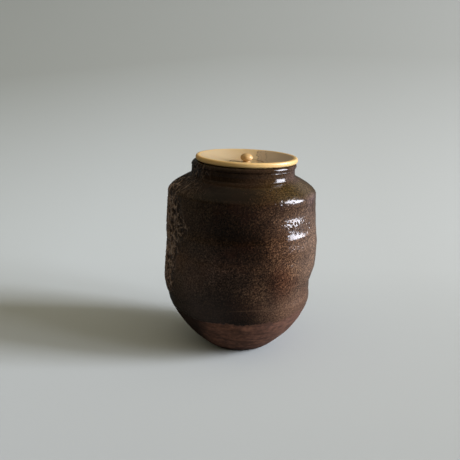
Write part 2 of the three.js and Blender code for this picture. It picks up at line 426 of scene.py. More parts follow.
# The depth and strength of the bumps of the resin and of the creased leaf
RESIN_BUMP = (0.012, 0.4)
LEAF_BUMP = (0.1, 0.5)
# Light goes a little way into the resin
RESIN_INSIDE = {
    "Subsurface Weight": 0.12, "Subsurface Radius": (1.0, 0.6, 0.3), "Subsurface Scale": 0.0012,
}

# The lid's streaks: how far right of its middle, half the width and the strength of each. They
# wobble from side to side, are full up to a share of that half, and are worn in places.
STREAKS = [(5.3, 0.36, 0.95), (6.7, 0.2, 0.5), (9, 0.32, 0.7)]
STREAK_WOBBLE = 1.0
STREAK_FULL_SHARE = 0.3
STREAK_WEAR_FADE = (0.36, 0.56, 0.15, 1)

# The camera, found from the outline in the photograph
CAMERA_BACK = 285
CAMERA_HEIGHT = 128.93
CAMERA_PITCH = 14.185
CAMERA_ROLL = 1.5
FOCAL_PIXELS = 634.1
AXIS_PIXEL = (241.08, 224.19)
PICTURE_PIXELS = 460
SENSOR = 36

# Windows to the right of the jar: azimuth, width, the elevations of the lower and the upper edge
# in degrees, radiance, and whether the window is only mirrored. The others only light things.
WINDOW_DISTANCE = 2500
WINDOW_COLOUR = (0.876, 0.895, 1.0)
WINDOWS = {
    "window": (84, 760, (5, 36), 38.0, False),
    "second_window": (66, 500, (5, 36), 10.0, False),
    "mirrored_window": (95, 1600, (2, 36), 25.0, True),
}
# A dim warm room round them, lightest from a share of the way up, and mirrored less bright
ROOM_LOW_COLOUR = (0.02, 0.017, 0.012)
ROOM_HIGH_COLOUR = (0.52, 0.46, 0.34)
ROOM_HIGH_SHARE = 0.8
ROOM_MIRROR_SHARE = 0.35
# The sheet's colours at the left and the right, as shares of the backdrop's: on the floor, in front of
# the jar and on the rise behind it. They change from left to right over twice a half width, and towards
# the front over twice a reach. These grades are painted light and shade: the sheet is lighter at the
# left and darker towards the front and up the rise.
BACKDROP_COLOUR = (0.552, 0.58, 0.56)
FLOOR_SHARES = ((1.09, 1.115, 1.14), (0.96, 0.96, 0.955))
FRONT_SHARES = ((0.89, 0.9, 0.93), (0.8, 0.8, 0.795))
BACKDROP_SHARES = ((0.6, 0.6, 0.565), (0.675, 0.665, 0.635))
FLOOR_HALF = 110
BACKDROP_HALF = 280
FRONT_REACH = 110
# The rise darkens up to a height, and sooner by a share of how far left a place lies
BACKDROP_HEIGHT = 140
BACKDROP_LEAN_SHARE = 0.12
# How much of its colour the sheet shows in mirrored light and throws back in scattered light
MIRROR_SHARE = 0.12
BOUNCE_SHARE = 0.4
# The sheet's size: half its width and its reach to the front, and the curve of its rise
FLOOR_REACH = 1600
SWEEP_START = 60
SWEEP_RADIUS = 430
SWEEP_TOP = 1100


def smooth(value, low, high):
    """A soft step from 0 at low to 1 at high."""
    share = np.clip((np.asarray(value, float) - low) / (high - low), 0, 1)
    return share * share * (3 - 2 * share)


def within(value, start, full, late, end):
    """1 from full to late, falling softly to 0 at start and end."""
    return smooth(value, start, full) * (1 - smooth(value, late, end))


def mix(start, end, share):
    return start + (end - start) * share


def spline(points):
    """Points along the uniform Catmull-Rom curve through the given points."""
    points = np.array(points, float)
    last = len(points) - 1
    places = np.linspace(0, last, CURVE_STEPS + 1)
    i = np.minimum(places.astype(int), last - 1)
    t = (places - i)[:, None]
    here, after = points[i], points[i + 1]
    leave = (after - points[np.maximum(i - 1, 0)]) / 2
    arrive = (points[np.minimum(i + 2, last)] - here) / 2
    cubic = 2 * here - 2 * after + leave + arrive
    square = 3 * after - 3 * here - 2 * leave - arrive
    return ((cubic * t + square) * t + leave) * t + here


def arc(middle, reach, start, end):
    """Points on a stretch of an ellipse, in degrees; reach holds its two half axes."""
    turn = np.radians(np.linspace(start, end, ARC_STEPS + 1))
    return np.array(middle) + np.stack([reach[0] * np.cos(turn), reach[1] * np.sin(turn)], 1)


def bend(start, control, end):
    """Points on the quadratic Bezier curve from start to end."""
    t = np.linspace(0, 1, ARC_STEPS + 1)[:, None]
    start, control, end = (np.array(p, float) for p in (start, control, end))
    return start * (1 - t) ** 2 + control * 2 * t * (1 - t) + end * t * t


def respaced(points, step):
    """The same line with its points evenly spread, about a step apart."""
    points = np.concatenate([np.atleast_2d(p) for p in points])
    lengths = np.hypot(*np.diff(points, axis=0).T)
    along = np.append(0, np.cumsum(lengths))
    places = np.linspace(0, along[-1], max(2, round(along[-1] / step)) + 1)
    return np.stack([np.interp(places, along, points[:, k]) for k in (0, 1)], 1)


def lumps(places, size, octaves, seed):
    """Smooth noise from about -1 to 1 over places, with lumps about a size across."""
    shift = Vector((seed, seed, seed))
    return np.array([noise.fractal(Vector(p) / size + shift, 1, 2, octaves) for p in places])


def skin(name, start, rings, end):
    """A closed mesh over rings of points, from the point where it starts to where it ends."""
    rows, sides = rings.shape[:2]
    points = np.concatenate([[start], rings.reshape(-1, 3), [end]]) * MM
    column = np.arange(sides)
    beside = (column + 1) % sides
    low = 1 + sides * np.arange(rows - 1)[:, None]
    walls = np.stack([low + column, low + beside, low + sides + beside, low + sides + column], -1)
    top = 1 + sides * (rows - 1)
    first = np.stack([np.zeros(sides, int), 1 + beside, 1 + column], -1)
    final = np.stack([top + column, top + beside, np.full(sides, top + sides)], -1)
    faces = [*first.tolist(), *walls.reshape(-1, 4).tolist(), *final.tolist()]
    mesh = bpy.data.meshes.new(name)
    mesh.from_pydata(points.tolist(), [], faces)
    mesh.shade_smooth()
    piece = bpy.data.objects.new(name, mesh)
    bpy.context.scene.collection.objects.link(piece)
    return piece


def turned(name, profile, sides, lean):
    """A closed mesh turned about the upright axis from a profile that starts and ends on it, and
    then leant down to the right by some degrees."""
    azimuth = np.linspace(0, 2 * np.pi, sides, endpoint=False)
    radius, height = profile[:, :1], profile[:, 1:]
    across, away = radius * np.sin(azimuth), -radius * np.cos(azimuth)
    c, s = math.cos(math.radians(lean)), math.sin(math.radians(lean))
    rings = np.stack([across * c + height * s, away, height * c - across * s], -1)
    return skin(name, rings[0, 0], rings[1:-1], rings[-1, 0])


def store(piece, name, values):
    """Keeps one number for each point of a piece, for its material to read."""
    layer = piece.data.attributes.new(name, "FLOAT", "POINT")
    layer.data.foreach_set("value", np.asarray(values, np.float32))


def jar_line():
    """The jar's profile from the middle of the base, out, up and over the lip, and down inside
    to the middle of the floor, with the share of the outer relief that each point takes."""
    wall = [
        (mix(BASE_RADIUS, BELLY_RADIUS, swell), SHOULDER_HEIGHT * rise)
        for rise, swell in WALL_SHARES
    ]
    outside = spline([*wall, (SHOULDER_RADIUS, SHOULDER_HEIGHT)])
    shoulder = spline([
        (mix(NECK_RADIUS, SHOULDER_RADIUS, reach), SHOULDER_HEIGHT + SHOULDER_RISE * rise)
        for rise, reach in SHOULDER_SHARES
    ])
    waist = NECK_RADIUS - NECK_WAIST
    neck = spline([
        (NECK_RADIUS, NECK_FOOT),
        (waist, NECK_FOOT + NECK_HEIGHT / 2),
        (waist, NECK_FOOT + NECK_HEIGHT),
    ])
    roll = arc((LIP_RADIUS - LIP_ROLL, LIP_TOP - LIP_ROLL), (LIP_ROLL, LIP_ROLL), LIP_ROLL_START, 90)
    lip = arc((MOUTH_RADIUS + MOUTH_ROUND, LIP_TOP - MOUTH_ROUND), (MOUTH_ROUND, MOUTH_ROUND), 90, 180)
    inner_edge = SHOULDER_RADIUS - WALL_THICKNESS
    inner_top = SHOULDER_HEIGHT - 2 * WALL_THICKNESS
    ceiling = bend(
        (MOUTH_RADIUS, NECK_FOOT - WALL_THICKNESS),
        (inner_edge, SHOULDER_HEIGHT + WALL_THICKNESS / 2),
        (inner_edge, inner_top),
    )
    inner_wall = spline([
        *[(radius - WALL_THICKNESS, mix(FLOOR_THICKNESS, inner_top, rise))
          for (radius, _), (rise, _) in zip(wall, WALL_SHARES)],
        (inner_edge, inner_top),
    ])[::-1]
    stretches = [
        (respaced([(0, 0), (BASE_RADIUS, 0)], WALL_STEP), 0),
        (respaced([outside], WALL_STEP), 1),
        (respaced([shoulder], WALL_STEP), 1),
        (respaced([neck, roll, lip], NECK_STEP), 1),
        (respaced([lip[-1:], ceiling, inner_wall, [(0, FLOOR_THICKNESS)]], INSIDE_STEP), 0),
    ]
    line = np.concatenate([stretches[0][0], *[points[1:] for points, _ in stretches[1:]]])
    counts = [len(points) - (k > 0) for k, (points, _) in enumerate(stretches)]
    return line, np.repeat([share for _, share in stretches], counts)


def sway(height):
    """How far the jar's middle lies to the right at each height."""
    share = height / LIP_TOP
    out = np.full_like(height, SWAY_SHARES[0][1], float)
    for (low, start), (high, end) in zip(SWAY_SHARES, SWAY_SHARES[1:]):
        out = np.where(share > low, mix(start, end, smooth(share, low, high)), out)
    return out * SWAY_DEPTH


def drop(across, height):
    """How far the jar's top drops at a place to the right of the axis."""
    lean = smooth(height, LIP_TOP * TOP_TILT_START_SHARE, LIP_TOP)
    return across * math.tan(math.radians(TOP_TILT)) * lean


def apart(azimuth, middle):
    """Degrees from a middle azimuth, from -180 to 180."""
    return (azimuth - middle + 180) % 360 - 180


def scar_band(azimuth, height, places):
    """1 in the scarred band and 0 away from it."""
    aside, broadly = (lumps(places, *kind) for kind in SCAR_SIDE_NOISES)
    away = np.abs(apart(azimuth, SCAR_AZIMUTH)) + SCAR_SIDE_WANDER * (aside + broadly)
    full, end = (SCAR_SPREAD * share for share in SCAR_SIDE_SHARES)
    level = height + SCAR_END_WANDER * lumps(places, *SCAR_END_NOISE)
    return (1 - smooth(away, full, end)) * within(level, *SCAR_HEIGHTS)


def scar_net(azimuth, height, places):
    """Ridges near 1 and pits near 0, from the distance to the edges of uneven cells."""
    warp_across, warp_up = (lumps(places, *kind) for kind in SCAR_CELL_NOISES)
    across = (np.radians(azimuth) * BELLY_RADIUS + warp_across) / SCAR_CELL
    up = (height + warp_up) / SCAR_STRETCH / SCAR_CELL
    near = np.array([noise.voronoi(Vector((a, b, 0)))[0][:2] for a, b in zip(across, up)])
    return 1 - smooth(near[:, 1] - near[:, 0], *SCAR_RIDGE_SHARES)


def marks(azimuth, height, table):
    """The sum of soft round marks, each given by its azimuth, height, half spreads and strength."""
    total = np.zeros_like(height)
    for middle, level, spread, rise, strength in table:
        aside, above = apart(azimuth, middle) / spread, (height - level) / rise
        total += strength * np.exp(-aside ** 2 - above ** 2)
    return total


def glaze_cover(azimuth, height, places):
    """1 where the glaze covers the clay and 0 on the bare foot."""
    edge = GLAZE_LINE + GLAZE_LINE_WANDER * lumps(places * (1, 1, 0), *GLAZE_LINE_NOISE)
    width = mix(GLAZE_EDGE_WIDTH, GLAZE_FADE_WIDTH, within(azimuth, *GLAZE_FADE_AZIMUTHS))
    return smooth(height, edge - width / 4, edge + width * 3 / 4)


def jar_relief(azimuth, radius, height, places):
    """How far the outer wall stands out, and the parts of it that the material reads."""
    form = BAND_DEPTH * lumps(places / BAND_SIZE, *BAND_NOISE)
    form += UNEVEN_DEPTH * lumps(places, *UNEVEN_NOISE)
    form += marks(azimuth, height, FINGER_MARKS)
    band = scar_band(azimuth, height, places)
    net = scar_net(azimuth, height, places)
    torn = marks(azimuth, height, TEARS)
    glaze = glaze_cover(azimuth, height, places)
    near_neck = smooth(height, NECK_FOOT - NECK_GRAIN_START, NECK_FOOT - NECK_GRAIN_FULL)
    grain = (1 + marks(azimuth, height, GRAIN_MARKS)) * mix(1, NECK_GRAIN_SHARE, near_neck)
    turn = (height + TOOL_MARK_WANDER * lumps(places, *TOOL_MARK_NOISE)) / TOOL_MARK_PITCH
    on_shoulder = smooth(height, SHOULDER_HEIGHT - SHOULDER_CALM_WIDTH, SHOULDER_HEIGHT)

    out = form * mix(1, SHOULDER_CALM_SHARE, on_shoulder)
    out += band * SCAR_DEPTH * (net - SCAR_LEVEL_SHARE)
    out += torn * TEAR_DEPTH * lumps(places / (1, 1, TEAR_STRETCH), *TEAR_NOISE)
    out += glaze * grain * SKIN_DEPTH * lumps(places, *SKIN_NOISE)
    out += (1 - glaze) * TOOL_MARK_DEPTH * np.sin(2 * np.pi * turn)
    out += (glaze - 1 / 2) * GLAZE_THICKNESS
    out *= within(height, 0, RELIEF_RISE, LIP_TOP - LIP_CALM_START, LIP_TOP - LIP_CALM_FULL)
    widest = smooth(radius, INSET_START, INSET_FULL)
    out = mix(out, np.minimum(out - RELIEF_INSET, 0), widest)
    kept = {
        "glaze": glaze,
        "scar": np.maximum(band, TEAR_SCAR_SHARE * torn),
        "net": net,
        "grain": grain,
        "form": FORM_MIDDLE + form,
        "pits": np.minimum(marks(azimuth, height, PIT_MARKS), 1),
    }
    return out, kept


def string_lines(places):
    """How far the lines cut by the string reach up into the base."""
    radius = np.hypot(places[:, 0], places[:, 1])
    off = np.hypot(places[:, 0] - STRING_MIDDLE[0], places[:, 1] - STRING_MIDDLE[1])
    turn = np.arctan2(places[:, 1], places[:, 0]) / (2 * np.pi)
    groove = (1 + np.sin(2 * np.pi * (off / STRING_PITCH + turn))) / 2
    rim = smooth(radius, BASE_RADIUS - 2 * STANDING_RIM, BASE_RADIUS - STANDING_RIM)
    return STRING_DEPTH * groove * (1 - rim)


def jar():
    """The jar's mesh: its profile turned about the axis, with its relief, sway and lean."""
    line, share = jar_line()
    ahead = np.gradient(line, axis=0)
    ahead /= np.hypot(*ahead.T)[:, None]
    outward = np.stack([ahead[:, 1], -ahead[:, 0]], 1)
    line, outward, share = line[1:-1], outward[1:-1], share[1:-1]
    rows = len(line)
    azimuth = np.tile(np.linspace(-180, 180, JAR_SIDES, endpoint=False), rows)
    turn = np.radians(azimuth)
    radius, height = (np.repeat(line[:, k], JAR_SIDES) for k in (0, 1))
    push_out, push_up = (np.repeat(outward[:, k], JAR_SIDES) for k in (0, 1))
    outer = np.repeat(share, JAR_SIDES)
    places = np.stack([radius * np.sin(turn), -radius * np.cos(turn), height], 1)
    relief, kept = jar_relief(azimuth, radius, height, places)
    base = (height == 0) & (radius < BASE_RADIUS)
    radius = radius + relief * outer * push_out
    height = height + relief * outer * push_up + np.where(base, string_lines(places), 0)
    across = radius * np.sin(turn) + sway(height)
    points = np.stack([across, -radius * np.cos(turn), height - drop(across, height)], 1)
    floor = (sway(np.array([FLOOR_THICKNESS]))[0], 0, FLOOR_THICKNESS)
    start = (sway(np.array([0.0]))[0], 0, STRING_DEPTH / 2)
    piece = skin("stoneware_jar", start, points.reshape(rows, JAR_SIDES, 3), floor)

    inside = (outer == 0) & ~base
    kept["glaze"] = np.where(inside, 1, kept["glaze"] * outer)
    kept["scar"] *= outer
    kept["pits"] *= outer
    kept["form"] = mix(FORM_MIDDLE, kept["form"], outer)
    kept["grain"] = np.where(inside, INSIDE_GRAIN_SHARE, kept["grain"])
    for name, values in kept.items():
        store(piece, name, np.concatenate([values[:1], values, values[-1:]]))
    return piece


def dish_height(radius):
    """The scooped top of the lid, measured up from its seat."""
    return LID_RIM_HEIGHT - DISH_DEPTH * (1 - (radius / DISH_RADIUS) ** 2)


def lid_profile():
    """The lid disc's profile from the middle of its underside round to the knob's peg hole."""
    radii = np.linspace(DISH_RADIUS, KNOB_SEAT_RADIUS, CURVE_STEPS)
    groove = np.clip(1 - np.abs(radii - RING_GROOVE_RADIUS) / (RING_GROOVE_WIDTH / 2), 0, 1)
    dish = np.stack([radii, dish_height(radii) - RING_GROOVE_DEPTH * np.sqrt(groove)], 1)
    spigot_middle = SPIGOT_RADIUS - SPIGOT_ROUND
    rim_middle = LID_RADIUS - LID_RIM_WIDTH / 2
    hole = PEG_RADIUS + PEG_CLEARANCE
    seat = dish_height(KNOB_SEAT_RADIUS)
    bottom = seat - PEG_LENGTH - PEG_CLEARANCE
    return np.concatenate([
        respaced([(0, -SPIGOT_DEPTH), (spigot_middle, -SPIGOT_DEPTH)], LID_STEP * 3),
        arc((spigot_middle, SPIGOT_ROUND - SPIGOT_DEPTH), (SPIGOT_ROUND, SPIGOT_ROUND), -90, 0)[1:],
        [(SPIGOT_RADIUS, 0)],
        arc((LID_RADIUS - LID_EDGE_ROUND, LID_EDGE_ROUND), (LID_EDGE_ROUND, LID_EDGE_ROUND), -90, 0),
        arc((rim_middle, LID_RIM_HEIGHT - LID_EDGE_ROUND), (LID_RIM_WIDTH / 2, LID_EDGE_ROUND), 0, 90),
        dish[1:],
        [(hole, seat), (hole, bottom), (0, bottom)],
    ])


def knob_profile():
    """The knob's profile from the end of its peg, out to its foot and up over the ball."""
    half = KNOB_HEIGHT / 2
    start = math.degrees(math.acos(KNOB_STEM_RADIUS / KNOB_RADIUS))
    middle = KNOB_STEM_HEIGHT + half * math.sin(math.radians(start))
    ball = arc((0, middle), (KNOB_RADIUS, half), -start, 90)
    stem = bend((KNOB_FOOT_RADIUS, 0), (KNOB_STEM_RADIUS, 0), (KNOB_STEM_RADIUS, KNOB_STEM_HEIGHT))
    foot = [(KNOB_FOOT_RADIUS, -GLUE_GAP)]
    peg = [(0, -PEG_LENGTH), (PEG_RADIUS, -PEG_LENGTH), (PEG_RADIUS, -GLUE_GAP)]
    body = respaced([stem, ball], KNOB_STEP)
    body[-1, 0] = 0
    return np.concatenate([peg, foot, body])


def lining_profile():
    """The lining's profile from the middle of its gilded side to the middle of its glued side."""
    radius = SPIGOT_RADIUS - SPIGOT_ROUND - LINING_MARGIN
    edge = [(radius, -LINING_THICKNESS), (radius, GLUE_GAP)]
    return np.concatenate([
        respaced([(0, -LINING_THICKNESS), edge[0]], LID_STEP),
        respaced([edge[1], (0, GLUE_GAP)], LID_STEP * 3),
    ])


class Nodes:
    """Builds a shader from nodes, with inputs given by name as values or as other sockets."""

    def __init__(self, tree):
        self.tree = tree

    def feed(self, socket, value):
        if isinstance(value, bpy.types.NodeSocket):
            self.tree.links.new(value, socket)
        elif socket.type == "RGBA":
            socket.default_value = (*value, 1)
        else:
            socket.default_value = value

    def put(self, node, inputs):
        for name, value in inputs.items():
            self.feed(node.inputs[name], value)
        return node

    def add(self, kind, inputs=None, **settings):
        node = self.tree.nodes.new(kind)
        for name, value in settings.items():
            setattr(node, name, value)
        return self.put(node, inputs or {})

    def millimetres(self, scale=(1, 1, 1)):
        """The piece's own coordinates in millimetres, times a scale."""
        own = self.add("ShaderNodeTexCoord").outputs["Object"]
        inputs = {"Vector": own, "Scale": [s / MM for s in scale]}
        return self.add("ShaderNodeMapping", inputs).outputs[0]

    def noise(self, vector, scale, detail, roughness, distortion=0):
        return self.add("ShaderNodeTexNoise", {
            "Vector": vector, "Scale": scale, "Detail": detail, "Roughness": roughness,
            "Distortion": distortion,
        }).outputs["Fac"]

    def voronoi(self, vector, scale, feature="F1"):
        inputs = {"Vector": vector, "Scale": scale}
        return self.add("ShaderNodeTexVoronoi", inputs, feature=feature).outputs["Distance"]

    def kept(self, name):
        """One of the numbers stored with the piece's points."""
        return self.add("ShaderNodeAttribute", attribute_name=name).outputs["Fac"]

    def math(self, operation, a, b=0.0):
        return self.add("ShaderNodeMath", {0: a, 1: b}, operation=operation).outputs[0]

    def product(self, total, *others):
        for other in others:
            total = self.math("MULTIPLY", total, other)
        return total

    def vector(self, operation, a, b):
        return self.add("ShaderNodeVectorMath", {0: a, 1: b}, operation=operation).outputs["Vector"]

    def distance(self, a, b):
        node = self.add("ShaderNodeVectorMath", {0: a, 1: b}, operation="DISTANCE")
        return node.outputs["Value"]

    def span(self, value, low, high, start=0.0, end=1.0):
        """A value between low and high, carried over to between start and end."""
        return self.add("ShaderNodeMapRange", {
            "Value": value, "From Min": low, "From Max": high, "To Min": start, "To Max": end,
        }).outputs["Result"]

    def blend(self, share, a, b, kind="MIX"):
        """Colour a where share is 0 and colour b where it is 1."""
        inputs = {0: share, 6: a, 7: b}
        return self.add("ShaderNodeMix", inputs, data_type="RGBA", blend_type=kind).outputs[2]

    def ramp(self, value, stops):
        node = self.add("ShaderNodeValToRGB", {"Fac": value})
        elements = node.color_ramp.elements
        while len(elements) < len(stops):
            elements.new(0.5)
        for element, (place, colour) in zip(elements, stops):
            element.position = place
            element.color = (*colour, 1)
        return node.outputs["Color"]

    def layered(self, colour, layers, values):
        """A colour under layers, which follow the values that they name."""
        for paint, fades in layers:
            if isinstance(paint[0], str):
                source, stops = paint
                paint = self.ramp(values[source], stops)
            share = self.product(*[self.span(values[name], *limits) for name, *limits in fades])
            colour = self.blend(share, colour, paint)
        return colour

    def bump(self, height, distance, strength=1.0):
        inputs = {"Height": height, "Distance": distance * MM, "Strength": strength}
        return self.add("ShaderNodeBump", inputs).outputs["Normal"]


def new_material(name):
    material = bpy.data.materials.new(name)
    material.use_nodes = True
    return material, Nodes(material.node_tree), material.node_tree.nodes["Principled BSDF"]


def glaze_values(n, place):
    """What the jar's looks follow: places on it, the numbers kept with it, and noises."""
    split = n.add("ShaderNodeSeparateXYZ", {"Vector": place})
    across = split.outputs["X"]
    patches = n.noise(place, *PATCH_NOISE)
    drips = n.noise(n.millimetres(DRIP_STRETCH), *DRIP_NOISE)
    drift = n.span(n.noise(place, *DRIFT_NOISE), *NOISE_SPREAD, -GLAZE_DRIFT, GLAZE_DRIFT)
    values = {name: n.kept(name) for name in ("glaze", "scar", "net", "grain", "form", "pits")}
    return values | {
        "across": across,
        "height": split.outputs["Z"],
        "frontal": n.span(across, *FRONTAL_TURN),
        "crystals": n.noise(place, *CRYSTAL_NOISE),
        "patches": patches,
        "drips": n.product(drips, n.span(patches, *DRIP_PATCH_FADE)),
        "drift": drift,
        "drifting": n.math("ADD", across, drift),
        "bands": n.noise(n.millimetres(CLAY_BAND_STRETCH), *CLAY_BAND_NOISE),
    }


def glaze_colour(n, place, values):
    """Fine crystals with painted shade and light: darkest in front and paler and warmest at the right,
    with stains, painted reflections, highlights and shade, and a pale line.
    """
    colour = n.layered(n.ramp(values["crystals"], SHADED_DARK_CRYSTALS), GLAZE_LAYERS, values)
    for middle, reach, stain_or_light_tint, strength in STAINS_AND_PAINTED_LIGHT:
        away = n.math("ADD", n.distance(place, middle), n.product(values["drift"], STAIN_AND_LIGHT_DRIFT_SHARE))
        colour = n.blend(n.span(away, reach, 0, 0, strength), colour, stain_or_light_tint, "MULTIPLY")
    level, half, strength = PALE_LINE
    limits = (level - PALE_LINE_WANDER, level + PALE_LINE_WANDER)
    wandering = n.span(values["drift"], -GLAZE_DRIFT, GLAZE_DRIFT, *limits)
    off = n.math("ABSOLUTE", n.math("SUBTRACT", values["height"], wandering))
    begun = n.span(values["across"], *PALE_LINE_START)
    return n.blend(n.product(n.span(off, half, 0, 0, strength), begun), colour, PALE_BROWN)


def fine_ridges(n, place, net):
    """Fine ridges and pits over the net of the scarred band, higher on its ridges."""
    warp = n.add("ShaderNodeTexNoise", {"Vector": place, "Scale": FINE_WARP_SCALE}).outputs["Color"]
    cells = n.millimetres((1 / FINE_CELL, 1 / FINE_CELL, 1 / FINE_CELL / FINE_STRETCH))
    cells = n.vector("ADD", cells, n.vector("MULTIPLY", warp, FINE_WARP))
    crest = n.span(n.voronoi(cells, 1, "DISTANCE_TO_EDGE"), *FINE_CREST_FADE)
    hollow = n.span(n.voronoi(cells, 1), *FINE_HOLLOW_FADE)
    fine = n.math("SUBTRACT", n.product(crest, n.span(net, *FINE_NET_FADE)), hollow)
    return n.math("ADD", fine, n.span(net, *FINE_LEVEL_FADE))


def scar_colour(n, fine, values):
    """Tan ridges and dark pits, with painted sheen at the jar's left outline, and darker on its neck.
    """
    colour = n.ramp(n.math("ADD", fine, n.span(values["scar"], *SCAR_DARK_FADE)), SCAR_BROWNS_AND_GLINTS)
    outline = n.span(values["across"], *SCAR_OUTLINE_FADE)
    # painted sheen at the left outline
    colour = n.blend(outline, colour, SCAR_OUTLINE_SHEEN_TINT, "MULTIPLY")
    return n.blend(n.span(values["height"], *SCAR_NECK_FADE), colour, SCAR_NECK_TINT, "MULTIPLY")


def clay_colour(n, place, values):
    """Bare reddish clay with dark bands; painted light makes its left paler, and painted shade darkens
    its right, its far left and its lower edge.
    """
    colour = n.layered(n.ramp(n.noise(place, *CLAY_NOISE), CLAY_REDS), CLAY_BANDS, values)
    tint = n.blend(n.span(values["across"], *CLAY_TURN), CLAY_LEFT_LIGHT_TINT, CLAY_RIGHT_SHADE_TINT)
    return n.layered(n.blend(1.0, colour, tint, "MULTIPLY"), CLAY_SHADE_EDGES, values)


def glaze_roughness(n, place, coat, values):
    """Smooth glaze, duller in its grain and its scars, and matt clay."""
    grain = n.product(n.span(n.noise(place, *GLOSS_NOISE), *GRAIN_ROUGHNESS_FADE), values["grain"])
    glaze = n.math("ADD", GLAZE_ROUGHNESS, grain)
    glaze = n.math("ADD", glaze, n.product(values["scar"], SCAR_ROUGHNESS))
    inputs = {"Factor": coat, "A": CLAY_ROUGHNESS, "B": glaze}
    return n.add("ShaderNodeMix", inputs, data_type="FLOAT").outputs["Result"]


def glaze_relief(n, place, coat, fine, values):
    """The bumps of the grain, the pits, the scars and the bare clay, finer than the mesh."""
    height = n.product(n.noise(place, *SWELL_NOISE), n.product(values["grain"], coat), GRAIN_DEPTH)
    pit = n.span(n.voronoi(place, 1 / PIT_SIZE), *PIT_EDGE_SHARES, -PIT_DEPTH, 0)
    bare = n.math("SUBTRACT", 1.0, coat)
    for more in (
        n.product(pit, values["pits"]),
        n.product(values["scar"], n.product(fine, FINE_DEPTH)),
        n.product(bare, n.product(values["bands"], CLAY_GRAIN_DEPTH)),
    ):
        height = n.math("ADD", height, more)
    return n.bump(height, 1)


def iron_glaze():
    """Brown iron glaze full of fine crystals, over bare reddish clay at the foot."""
    material, n, shader = new_material("iron_glaze")
    place = n.millimetres()
    values = glaze_values(n, place)
    fine = fine_ridges(n, place, values["net"])
    glaze = glaze_colour(n, place, values)
    scarred = n.span(values["scar"], *SCAR_COVER_FADE)
    glaze = n.blend(scarred, glaze, scar_colour(n, fine, values))
    limits = (-GLAZE_RAGGED_SHARE, GLAZE_RAGGED_SHARE)
    ragged = n.span(n.noise(place, *RAGGED_NOISE), *NOISE_SPREAD, *limits)
    coat = n.span(n.math("ADD", values["glaze"], ragged), *GLAZE_COVER_FADE)
    n.put(shader, {
        "Base Color": n.blend(coat, clay_colour(n, place, values), glaze),
        "Roughness": glaze_roughness(n, place, coat, values),
        "Normal": glaze_relief(n, place, coat, fine, values),
        "Specular IOR Level": GLAZE_SHINE,
    })
    return material


def ivory_resin():
    """Cream resin, with natural streaks from front to back at the right of the knob, painted light on
    the dish's left, and a darker right that is partly its tone and partly painted shade.
    """
    material, n, shader = new_material("ivory_resin")
    place = n.millimetres()
    wobble = n.noise(n.millimetres(STREAK_STRETCH), *STREAK_NOISE)
    wobble = n.span(wobble, *NOISE_SPREAD, -STREAK_WOBBLE, STREAK_WOBBLE)
    split = n.add("ShaderNodeSeparateXYZ", {"Vector": place})
    across = n.math("ADD", split.outputs["X"], wobble)
    reach = n.distance(n.vector("MULTIPLY", place, (1, 1, 0)), (0, 0, 0))
    values = {
        "across": across,
        "grain": n.noise(n.millimetres(IVORY_GRAIN_STRETCH), *IVORY_GRAIN_NOISE),
        "reach": reach,
        "beside": n.math("ABSOLUTE", n.math("SUBTRACT", reach, RING_GROOVE_RADIUS)),
    }
    clouds = n.ramp(n.noise(place, *IVORY_CLOUD_NOISE), IVORY_CLOUDS)
    colour = n.layered(clouds, IVORY_SIDES, values)
    wear = n.span(n.noise(place, *STREAK_WEAR_NOISE), *STREAK_WEAR_FADE)
    for middle, half, strength in STREAKS:
        away = n.math("ABSOLUTE", n.math("SUBTRACT", across, middle))
        streak = n.span(away, half * STREAK_FULL_SHARE, half, strength, 0)
        colour = n.blend(n.product(streak, wear), colour, IVORY_STREAK_BROWN)
    n.put(shader, {
        "Base Color": n.layered(colour, IVORY_RINGS, values),
        "Roughness": IVORY_ROUGHNESS,
        "Normal": n.bump(n.noise(place, *IVORY_SKIN_NOISE), *RESIN_BUMP),
    } | RESIN_INSIDE)
    return material


def knob_resin():
    """The knob's resin, warmer than the lid's and with its grain upright."""
    material, n, shader = new_material("knob_resin")
    grain = n.noise(n.millimetres(KNOB_GRAIN_STRETCH), *KNOB_GRAIN_NOISE)
    n.put(shader, {
        "Base Color": n.ramp(grain, KNOB_GRAIN),
        "Roughness": KNOB_ROUGHNESS,
        "Normal": n.bump(n.noise(n.millimetres(), *KNOB_SKIN_NOISE), *RESIN_BUMP),
    } | RESIN_INSIDE)
    return material


def gold_leaf():
    """Squares of gold leaf laid on paper, with creases and darker laps."""
    material, n, shader = new_material("gold_leaf")
    creases = n.noise(n.millimetres(), *LEAF_NOISE)
    n.put(shader, {
        "Base Color": n.ramp(creases, GOLD_CREASES),
        "Metallic": 1.0,
        "Roughness": n.span(creases, *LEAF_ROUGHNESS_FADE),
        "Normal": n.bump(creases, *LEAF_BUMP),
    })
    return material


